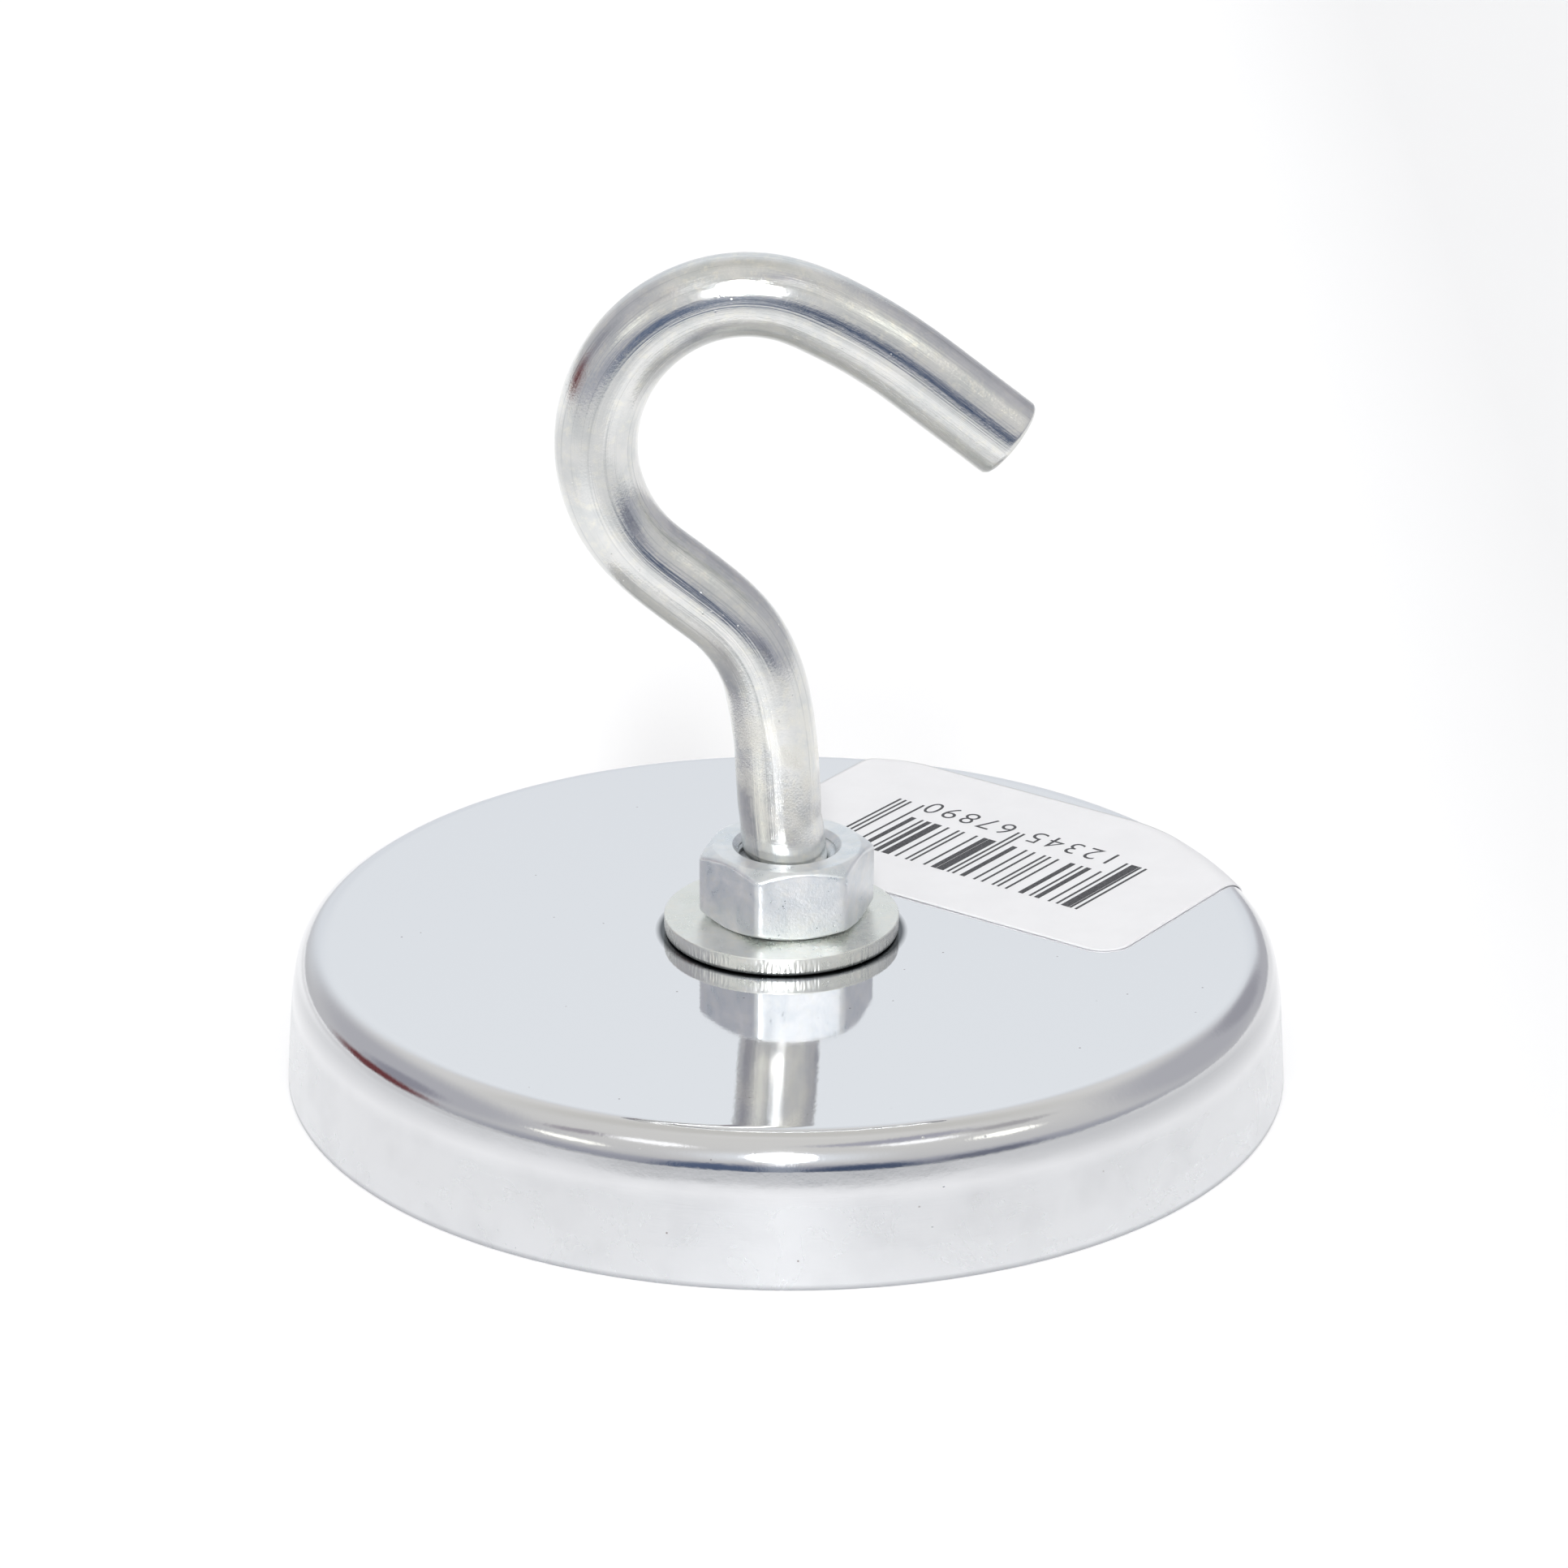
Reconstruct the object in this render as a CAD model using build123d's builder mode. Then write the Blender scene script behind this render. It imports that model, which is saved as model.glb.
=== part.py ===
"""Flat pot magnet with a bent-rod hook: pressed steel cup, ferrite ring, resin fillings and screwed hardware.

Millimetres, +Z up. The origin is the centre of the pole face, the flat underside that grips steel. The hook
is bent in the XZ plane, and its tip points to +X and down. The hook and its nut unscrew together from the
anchor nut, which is set in resin. Their 5/16-18 thread is a plain cylinder here, at its crest radius.
"""

import os
from math import cos, radians, sin, tan

from build123d import *

os.makedirs("parts", exist_ok=True)

# Cup
cup_r = 41.0  # at the rim
cup_height = 12.0
cup_sheet = 2.0
cup_shoulder_r = 3.2
cup_draft = 4.1  # degrees that the wall flares towards the rim
cup_rim_break = 0.2
cup_hole_r = 4.5

# Magnet ring and the adhesive under it
ring_r = 35.6
ring_bore_r = 16.0
ring_edge_break = 0.6
bond_thickness = 0.3

# Resin: the surface stands back from the pole face, and climbs where it wets a wall
rim_resin_z = 0.35
rim_resin_dip = 0.35
centre_resin_z = 3.3
centre_resin_climb = 0.9

# Screwed hardware
thread_crest_r = 3.92
thread_play = 0.08
washer_r = 9.6
washer_bore_r = 4.5
washer_thickness = 1.55
washer_edge_r = 0.35
washer_shift = (-0.42, -0.18)  # the upper washer sits off centre, within its play on the thread
nut_across_flats = 12.7
nut_height = 6.0
nut_land_r = 6.0  # the flat land left inside the chamfer on each face
nut_chamfer_angle = 28
nut_countersink_r = 4.4
upper_nut_turn = 10.7  # degrees that the front flat is turned towards +X
anchor_nut_turn = 23.0

# Hook, from its threaded end to its tip
rod_r = 3.4
thread_end_z = 0.8
thread_lead = 0.8
thread_below_nut_top = 2.15  # above the thread the rod leans a little in the nut's countersink
foot_turn, foot_r = 9.0, 12.0
foot_run = 2.0
shank_turn, shank_r = 5.8, 12.5
shank_run = 4.5
lean_turn, lean_r = 9.9, 38.5
neck_turn, neck_r = 38.5, 11.9
neck_run = 5.7
back_turn, back_r = 110.0, 12.6
crown_turn, crown_r = 54.8, 11.4
ease_turn, ease_r = 14.8, 40.0
tip_run = 9.4
tip_edge_r = 0.6

# Label, a rounded rectangle turned on the plate, with its far corner wrapped over the shoulder
label_length = 40.3
label_width = 25.0
label_corner_r = 2.7
label_thickness = 0.12
label_turn = -35.5
label_centre = (4.45, 23.4)  # along and across the turned label, from the cup's axis
label_lowest_z = 8.0

# Worked out from the sizes above
draft = radians(cup_draft)
shoulder_z = cup_height - cup_shoulder_r
shoulder_flare = (shoulder_z + cup_shoulder_r * sin(draft)) * tan(draft)
flat_r = cup_r - cup_shoulder_r * cos(draft) - shoulder_flare
ceiling_z = cup_height - cup_sheet
ring_top_z = ceiling_z - bond_thickness
lower_washer_z = ceiling_z - washer_thickness
anchor_nut_z = lower_washer_z - nut_height
upper_nut_z = cup_height + washer_thickness
upper_nut_top_z = upper_nut_z + nut_height
thread_top_z = upper_nut_top_z - thread_below_nut_top
nut_bore_r = thread_crest_r + thread_play


def cup_line(outside, from_r, to_z):
    """Draws the cup's section, moved outwards, from a radius on its top to a height on its wall."""
    bend_r = cup_shoulder_r + outside
    wall_top = (flat_r + bend_r * cos(draft), shoulder_z + bend_r * sin(draft))
    start = (from_r, shoulder_z + bend_r)
    end = (wall_top[0] + (wall_top[1] - to_z) * tan(draft), to_z)
    Line(start, (flat_r, shoulder_z + bend_r))
    JernArc((flat_r, shoulder_z + bend_r), (1, 0), bend_r, cup_draft - 90)
    Line(wall_top, end)
    return start, end


def washer(base_z, shift=(0, 0)):
    """A flat punched washer, with its lower outer edge rounded by the punch."""
    with BuildPart() as piece:
        with BuildSketch(Plane.XY.offset(base_z)):
            with Locations(shift):
                Circle(washer_r)
                Circle(washer_bore_r, mode=Mode.SUBTRACT)
        extrude(amount=washer_thickness)
        lower_edges = piece.edges().filter_by(GeomType.CIRCLE).group_by(Axis.Z)[0]
        fillet(lower_edges.sort_by(SortBy.RADIUS)[-1], washer_edge_r)
    return piece


def nut(base_z, turn):
    """A hexagon nut, chamfered and countersunk on both faces."""
    outer_r = nut_across_flats  # well outside the corners
    chamfer_drop = (outer_r - nut_land_r) * tan(radians(nut_chamfer_angle))
    with BuildPart() as piece:
        with BuildSketch(Plane.XY.offset(base_z)):
            RegularPolygon(nut_across_flats / 2, side_count=6, major_radius=False, rotation=turn)
            Circle(nut_bore_r, mode=Mode.SUBTRACT)
        extrude(amount=nut_height)
        chamfer(piece.edges().filter_by(GeomType.CIRCLE), nut_countersink_r - nut_bore_r)
        with BuildSketch(Plane.XZ):
            Polygon(
                (0, base_z),
                (nut_land_r, base_z),
                (outer_r, base_z + chamfer_drop),
                (outer_r, base_z + nut_height - chamfer_drop),
                (nut_land_r, base_z + nut_height),
                (0, base_z + nut_height),
                align=None,
            )
        revolve(axis=Axis.Z, mode=Mode.INTERSECT)
    return piece


# Pressed cup, open at the bottom, with a clearance hole for the thread
with BuildPart() as steel_cup:
    with BuildSketch(Plane.XZ):
        with BuildLine():
            outer_start, outer_end = cup_line(0, cup_hole_r, 0)
            inner_start, inner_end = cup_line(-cup_sheet, cup_hole_r, 0)
            Line(outer_start, inner_start)
            Line(outer_end, inner_end)
        make_face()
    revolve(axis=Axis.Z)
    chamfer(edges().group_by(Axis.Z)[0], cup_rim_break)
steel_cup.part.label = "steel_cup"
export_step(steel_cup.part, "parts/steel_cup.step")

# Ferrite ring, whose lower face is the inner pole
with BuildPart() as ferrite_ring:
    with BuildSketch():
        Circle(ring_r)
        Circle(ring_bore_r, mode=Mode.SUBTRACT)
    extrude(amount=ring_top_z)
    chamfer(edges().filter_by(GeomType.CIRCLE), ring_edge_break)
ferrite_ring.part.label = "ferrite_ring"
export_step(ferrite_ring.part, "parts/ferrite_ring.step")

# Adhesive film between the ring and the cup
with BuildPart() as bond_layer:
    with BuildSketch(Plane.XY.offset(ring_top_z)):
        Circle(ring_r - ring_edge_break)
        Circle(ring_bore_r + ring_edge_break, mode=Mode.SUBTRACT)
    extrude(amount=bond_thickness)
bond_layer.part.label = "bond_layer"
export_step(bond_layer.part, "parts/bond_layer.step")

# Resin that fills the gap between the ring and the cup's wall
with BuildPart() as rim_resin:
    with BuildSketch(Plane.XZ):
        with BuildLine():
            resin_start, resin_end = cup_line(-cup_sheet, ring_r - ring_edge_break, rim_resin_z)
            middle = ((ring_r + resin_end[0]) / 2, rim_resin_z + rim_resin_dip)
            ThreePointArc(resin_end, middle, (ring_r, rim_resin_z + ring_edge_break))
            Line((ring_r, rim_resin_z + ring_edge_break), (ring_r, ring_top_z - ring_edge_break))
            Line((ring_r, ring_top_z - ring_edge_break), (ring_r - ring_edge_break, ring_top_z))
            Line((ring_r - ring_edge_break, ring_top_z), resin_start)
        make_face()
    revolve(axis=Axis.Z)
rim_resin.part.label = "rim_resin"
export_step(rim_resin.part, "parts/rim_resin.step")

# Washer and nut under the plate
lower_washer = washer(lower_washer_z)
lower_washer.part.label = "lower_washer"
export_step(lower_washer.part, "parts/lower_washer.step")

anchor_nut = nut(anchor_nut_z, anchor_nut_turn)
anchor_nut.part.label = "anchor_nut"
export_step(anchor_nut.part, "parts/anchor_nut.step")

# Resin that fills the ring's bore and holds the anchor nut; the nut's face and thread stay clear
with BuildPart() as centre_resin:
    with BuildSketch(Plane.XZ):
        with BuildLine():
            wall_r = ring_bore_r
            upper_r = ring_bore_r + ring_edge_break
            Line((washer_bore_r, centre_resin_z), (wall_r - centre_resin_climb, centre_resin_z))
            JernArc((wall_r - centre_resin_climb, centre_resin_z), (1, 0), centre_resin_climb, -90)
            Line((wall_r, centre_resin_z - centre_resin_climb), (wall_r, ring_top_z - ring_edge_break))
            Line((wall_r, ring_top_z - ring_edge_break), (upper_r, ring_top_z))
            Line((upper_r, ring_top_z), (upper_r, ceiling_z))
            Line((upper_r, ceiling_z), (washer_bore_r, ceiling_z))
            Line((washer_bore_r, ceiling_z), (washer_bore_r, centre_resin_z))
        make_face()
    revolve(axis=Axis.Z)
    add(anchor_nut.part, mode=Mode.SUBTRACT)
    add(lower_washer.part, mode=Mode.SUBTRACT)
centre_resin.part.label = "centre_resin"
export_step(centre_resin.part, "parts/centre_resin.step")

# Washer and nut above the plate
flat_washer = washer(cup_height, washer_shift)
flat_washer.part.label = "flat_washer"
export_step(flat_washer.part, "parts/flat_washer.step")

hex_nut = nut(upper_nut_z, upper_nut_turn)
hex_nut.part.label = "hex_nut"
export_step(hex_nut.part, "parts/hex_nut.step")

# Hook: one rod, threaded at its lower end and bent in the XZ plane
with BuildPart() as hook:
    with BuildSketch(Plane.XY.offset(thread_end_z)):
        Circle(thread_crest_r)
    extrude(amount=thread_top_z - thread_end_z)
    chamfer(edges().filter_by(GeomType.CIRCLE).sort_by(Axis.Z)[0], thread_lead)
    chamfer(edges().filter_by(GeomType.CIRCLE).sort_by(Axis.Z)[-1], thread_crest_r - rod_r)
    with BuildLine(Plane.XZ) as route:
        foot = JernArc((0, thread_top_z), (0, 1), foot_r, foot_turn)
        foot_line = PolarLine(foot @ 1, foot_run, direction=foot % 1)
        shank = JernArc(foot_line @ 1, foot_line % 1, shank_r, -shank_turn)
        shank_line = PolarLine(shank @ 1, shank_run, direction=shank % 1)
        lean = JernArc(shank_line @ 1, shank_line % 1, lean_r, lean_turn)
        neck = JernArc(lean @ 1, lean % 1, neck_r, neck_turn)
        neck_line = PolarLine(neck @ 1, neck_run, direction=neck % 1)
        back = JernArc(neck_line @ 1, neck_line % 1, back_r, -back_turn)
        crown = JernArc(back @ 1, back % 1, crown_r, -crown_turn)
        ease = JernArc(crown @ 1, crown % 1, ease_r, -ease_turn)
        tip = PolarLine(ease @ 1, tip_run, direction=ease % 1)
    with BuildSketch(Plane.XY.offset(thread_top_z)):
        Circle(rod_r)
    sweep()
    fillet(edges().filter_by(GeomType.CIRCLE).sort_by(Axis.X)[-1], tip_edge_r)
hook.part.label = "hook"
export_step(hook.part, "parts/hook.step")

# Paper label stuck to the plate
with BuildPart() as barcode_label:
    with BuildSketch(Plane.XZ):
        with BuildLine():
            paper_start, paper_end = cup_line(0, washer_r, label_lowest_z)
            print_start, print_end = cup_line(label_thickness, washer_r, label_lowest_z)
            Line(paper_start, print_start)
            Line(paper_end, print_end)
        make_face()
    revolve(axis=Axis.Z)
    with BuildSketch(Plane.XY.rotated((0, 0, label_turn))):
        with Locations(label_centre):
            RectangleRounded(label_length, label_width, label_corner_r)
    extrude(amount=cup_height * 2, mode=Mode.INTERSECT)
barcode_label.part.label = "barcode_label"
export_step(barcode_label.part, "parts/barcode_label.step")
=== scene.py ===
"""Looks of the flat pot magnet with a bent-rod hook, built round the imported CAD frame.

Lengths are in millimetres until a mesh is made, which turns them into metres."""

import math

import bmesh
import bpy
from mathutils import Matrix, Quaternion, Vector, noise


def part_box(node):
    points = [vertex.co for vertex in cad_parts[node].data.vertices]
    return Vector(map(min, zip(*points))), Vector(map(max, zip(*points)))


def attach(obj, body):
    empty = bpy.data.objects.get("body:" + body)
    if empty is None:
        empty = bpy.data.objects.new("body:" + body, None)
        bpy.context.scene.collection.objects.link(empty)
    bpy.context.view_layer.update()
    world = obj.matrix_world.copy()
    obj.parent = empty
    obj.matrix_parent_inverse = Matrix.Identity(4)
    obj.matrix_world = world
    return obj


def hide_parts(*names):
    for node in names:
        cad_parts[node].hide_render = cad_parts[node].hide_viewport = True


MM = 0.001
TAU = 2 * math.pi

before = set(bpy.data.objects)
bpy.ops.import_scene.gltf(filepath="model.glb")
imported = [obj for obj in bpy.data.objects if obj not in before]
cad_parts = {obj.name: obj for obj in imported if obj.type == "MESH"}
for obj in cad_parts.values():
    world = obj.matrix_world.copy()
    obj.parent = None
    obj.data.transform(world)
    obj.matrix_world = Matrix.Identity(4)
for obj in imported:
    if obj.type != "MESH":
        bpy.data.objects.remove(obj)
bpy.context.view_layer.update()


def node_box(node):
    """Lowest and highest corner of a CAD node, in millimetres."""
    low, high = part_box(node)
    return low / MM, high / MM


# ---------------------------------------------------------------- sizes, most of them as in the CAD source
PLATE_Z = node_box("steel_cup")[1].z
CUP_R = 41.0
CUP_SHEET = 2.0
SHOULDER_R = 3.2
DRAFT = math.radians(4.1)
HOLE_R = 4.5
SHOULDER_Z = PLATE_Z - SHOULDER_R
SHOULDER_END_Z = SHOULDER_Z + SHOULDER_R * math.sin(DRAFT)
FLAT_R = CUP_R - SHOULDER_R * math.cos(DRAFT) - SHOULDER_END_Z * math.tan(DRAFT)

# The mesh's shoulder eases into the wall: its radius, where it ends and how far from upright it is there.
# Lower down the wall has a faint crease.
EASE_R = 3.0
EASE_Z = 7.9
EASE_TILT = math.radians(11)
CREASE_Z = 3.1

RING_R = 35.6
RING_BORE_R = 16.0
RING_TOP = node_box("ferrite_ring")[1].z
RING_EDGE = 0.6
CEILING_Z = PLATE_Z - CUP_SHEET

ROD_R = 3.4
ROUTE_LEAD = 0.6
PITCH = 25.4 / 18
PITCH_R = 3.511
ROD_THREAD_R = (3.12, 3.92)
NUT_THREAD_R = (3.32, 4.02)
THREAD_SLACK = 0.03
HOOK_LOW_Z = node_box("hook")[0].z
NUT_LOW, NUT_HIGH = node_box("hex_nut")
ANCHOR_LOW, ANCHOR_HIGH = node_box("anchor_nut")
WASHER_LOW, WASHER_HIGH = node_box("flat_washer")
THREAD_TOP = NUT_HIGH.z - 2.15
NUT_FLATS = 12.7
NUT_LAND_R = 6.0
NUT_CHAMFER = math.radians(28)
NUT_TURN = math.radians(10.7)
ANCHOR_TURN = math.radians(23.0)
WASHER_R = 9.6
WASHER_BORE_R = 4.5

WASHER_X = (WASHER_LOW.x + WASHER_HIGH.x) / 2
WASHER_Y = (WASHER_LOW.y + WASHER_HIGH.y) / 2

LABEL_LENGTH = 40.3
LABEL_WIDTH = 25.0
LABEL_CORNER_R = 2.7
LABEL_THICKNESS = 0.12
LABEL_TURN = math.radians(-35.5)
LABEL_CENTRE = (4.45, 23.4)

# The print on the label. Its row of bars is counted in modules: two halves of symbols between three guards.
SYMBOLS = 12
SYMBOL_MODULES = 7
GUARD_MODULES = 3
MIDDLE_MODULES = 5
ROW_MODULES = 2 * GUARD_MODULES + SYMBOLS * SYMBOL_MODULES + MIDDLE_MODULES
MODULE = 0.27
BAR_LENGTH = 7.85
LONG_BAR_LENGTH = 10.6
DIGITS_FROM = 9.4
DIGITS_TO = 11.7
PRINT_CENTRE = (4.43, 17.3)
PRINT_TURN = math.radians(-1.4)
PRINT_LIFT = 0.005

CREAM = (0.86, 0.85, 0.79)
# The colour of painted shade, for the contact lines at and under the washer.
PAINTED_SHADE = (0.09, 0.10, 0.11)


# ---------------------------------------------------------------- small tools
def smooth_step(low, high, value):
    t = min(max((value - low) / (high - low), 0.0), 1.0)
    return t * t * (3 - 2 * t)


def rounded(corners, steps=5, guard=0.05, share=0.45):
    """A closed outline with rounded corners, from corners (r, z, radius).

    Every corner gives the same number of points. Two of them are guards on its straight sides, so that flat
    faces stay flat when the mesh is shaded smooth. A corner takes at most a share of either side."""
    points = []
    count = len(corners)
    for i, (x, z, radius) in enumerate(corners):
        here = Vector((x, z))
        before = Vector(corners[i - 1][:2]) - here
        after = Vector(corners[(i + 1) % count][:2]) - here
        half = before.angle(after) / 2
        tangent = min(radius / math.tan(half), share * before.length, share * after.length)
        radius = tangent * math.tan(half)
        before.normalize()
        after.normalize()
        centre = here + (before + after).normalized() * radius / math.sin(half)
        start = here + before * tangent - centre
        end = here + after * tangent - centre
        turn = start.angle_signed(end) * -1
        points.append(here + before * (tangent + guard))
        for k in range(steps + 1):
            spoke = start.copy()
            spoke.rotate(Matrix.Rotation(turn * k / steps, 2))
            points.append(centre + spoke)
        points.append(here + after * (tangent + guard))
    return [(p.x, p.y) for p in points]


def make_piece(name, points, faces, body, nodes, material, attributes=None):
    """A smooth mesh object from points in millimetres, riding on a body and standing for CAD nodes."""
    mesh = bpy.data.meshes.new(name)
    mesh.from_pydata([Vector(p) * MM for p in points], [], faces)
    for key, values in (attributes or {}).items():
        layer = mesh.attributes.new(key, "FLOAT_VECTOR", "POINT")
        layer.data.foreach_set("vector", [c for v in values for c in v])
    work = bmesh.new()
    work.from_mesh(mesh)
    bmesh.ops.remove_doubles(work, verts=work.verts, dist=1e-8)
    bmesh.ops.dissolve_degenerate(work, edges=work.edges, dist=1e-9)
    bmesh.ops.recalc_face_normals(work, faces=work.faces)
    for face in work.faces:
        face.smooth = True
    work.to_mesh(mesh)
    work.free()
    mesh.update()
    mesh.materials.append(material)
    piece = bpy.data.objects.new(name, mesh)
    bpy.context.scene.collection.objects.link(piece)
    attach(piece, body)
    if nodes:
        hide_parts(*nodes)
    return piece


def ring_faces(rows, turns, closed):
    """Quads between rows of points that each go once round an axis."""
    faces = []
    for i in range(rows if closed else rows - 1):
        for k in range(turns):
            a, b = i * turns, ((i + 1) % rows) * turns
            n = (k + 1) % turns
            faces.append((a + k, a + n, b + n, b + k))
    return faces


def lathe(outline, turns, centre=(0, 0), reshape=None):
    """Points and faces of a closed outline turned about the Z axis.

    outline is a list of (r, z), or a function of the angle that gives one. reshape(r, z, angle, index) may
    move each point."""
    points = []
    profiles = [outline(TAU * k / turns) if callable(outline) else outline for k in range(turns)]
    rows = len(profiles[0])
    for i in range(rows):
        for k in range(turns):
            angle = TAU * k / turns
            r, z = profiles[k][i]
            if reshape:
                r, z = reshape(r, z, angle, i)
            points.append((centre[0] + r * math.cos(angle), centre[1] + r * math.sin(angle), z))
    return points, ring_faces(rows, turns, True)


def grain(x, y, z, scale):
    """Smooth noise from -1 to 1 at a point, with features of about 1 / scale."""
    return noise.noise(Vector((x, y, z)) * scale)


# ---------------------------------------------------------------- materials
class Nodes:
    """A node tree, with short ways to add what the materials and the world share."""

    def __init__(self, tree):
        self.tree = tree

    def node(self, kind, **values):
        made = self.tree.nodes.new(kind)
        for key, value in values.items():
            setattr(made, key, value)
        return made

    def link(self, out, into):
        self.tree.links.new(out, into)

    def fill(self, socket, value):
        """Gives a socket a number, a colour or another node's output."""
        if isinstance(value, (int, float)):
            socket.default_value = value
        elif isinstance(value, tuple):
            socket.default_value = (*value, 1)
        else:
            self.link(value, socket)

    def calc(self, operation, *values):
        made = self.node("ShaderNodeMath", operation=operation)
        for socket, value in zip(made.inputs, values):
            self.fill(socket, value)
        return made.outputs["Value"]

    def plus(self, first, second):
        return self.calc("ADD", first, second)

    def times(self, first, second):
        return self.calc("MULTIPLY", first, second)

    def rest(self, value):
        """What is missing from 1."""
        return self.calc("SUBTRACT", 1.0, value)

    def ramp(self, value, low, high, out_low=0.0, out_high=1.0, smooth=False):
        """A value that goes from out_low to out_high while the given one goes from low to high."""
        made = self.node("ShaderNodeMapRange", interpolation_type="SMOOTHSTEP" if smooth else "LINEAR")
        for key, number in zip(("From Min", "From Max", "To Min", "To Max"), (low, high, out_low, out_high)):
            made.inputs[key].default_value = number
        self.link(value, made.inputs["Value"])
        return made.outputs["Result"]

    def parts(self, vector):
        made = self.node("ShaderNodeSeparateXYZ")
        self.link(vector, made.inputs["Vector"])
        return [made.outputs[axis] for axis in "XYZ"]

    def mix(self, factor, first, second):
        """A colour between two colours, each a value or an output."""
        made = self.node("ShaderNodeMix", data_type="RGBA")
        self.link(factor, made.inputs["Factor"])
        sockets = [socket for socket in made.inputs if socket.type == "RGBA"]
        for socket, value in zip(sockets, (first, second)):
            self.fill(socket, value)
        return [socket for socket in made.outputs if socket.type == "RGBA"][0]


class Shader(Nodes):
    """A node material under construction, with short ways to add what the materials here share."""

    def __init__(self, name):
        self.material = bpy.data.materials.new(name)
        self.material.use_nodes = True
        super().__init__(self.material.node_tree)
        self.bsdf = self.tree.nodes["Principled BSDF"]

    def set(self, **values):
        for key, value in values.items():
            self.bsdf.inputs[key.replace("_", " ")].default_value = value

    def place(self, attribute=None, scale=(1, 1, 1)):
        """Coordinates in millimetres: the piece's own, or a stored attribute's, stretched by scale."""
        if attribute:
            source = self.node("ShaderNodeAttribute", attribute_name=attribute).outputs["Vector"]
            factors = scale
        else:
            source = self.node("ShaderNodeTexCoord").outputs["Object"]
            factors = [s / MM for s in scale]
        made = self.node("ShaderNodeMapping")
        made.inputs["Scale"].default_value = factors
        self.link(source, made.inputs["Vector"])
        return made.outputs["Vector"]

    def noise(self, where, scale, detail=3.0, roughness=0.55, distortion=0.0):
        made = self.node("ShaderNodeTexNoise")
        made.inputs["Scale"].default_value = scale
        made.inputs["Detail"].default_value = detail
        made.inputs["Roughness"].default_value = roughness
        made.inputs["Distortion"].default_value = distortion
        self.link(where, made.inputs["Vector"])
        return made.outputs["Fac"]

    def spots(self, where, scale):
        """Distance to the nearest of many scattered points."""
        made = self.node("ShaderNodeTexVoronoi")
        made.inputs["Scale"].default_value = scale
        self.link(where, made.inputs["Vector"])
        return made.outputs["Distance"]

    def blend(self, factor, first, second):
        """A value between two values, each a number or an output."""
        made = self.node("ShaderNodeMix", data_type="FLOAT")
        self.link(factor, made.inputs["Factor"])
        for key, value in (("A", first), ("B", second)):
            self.fill(made.inputs[key], value)
        return made.outputs["Result"]

    def colour(self, output):
        self.link(output, self.bsdf.inputs["Base Color"])

    def rough(self, output):
        self.link(output, self.bsdf.inputs["Roughness"])

    def bump(self, height, depth):
        """Adds a bump, depth in millimetres for a height from 0 to 1, on top of those already there."""
        made = self.node("ShaderNodeBump")
        made.inputs["Strength"].default_value = 1.0
        made.inputs["Distance"].default_value = depth * MM
        socket = self.bsdf.inputs["Normal"]
        if socket.links:
            self.link(socket.links[0].from_socket, made.inputs["Normal"])
        self.link(height, made.inputs["Height"])
        self.link(made.outputs["Normal"], socket)


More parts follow.
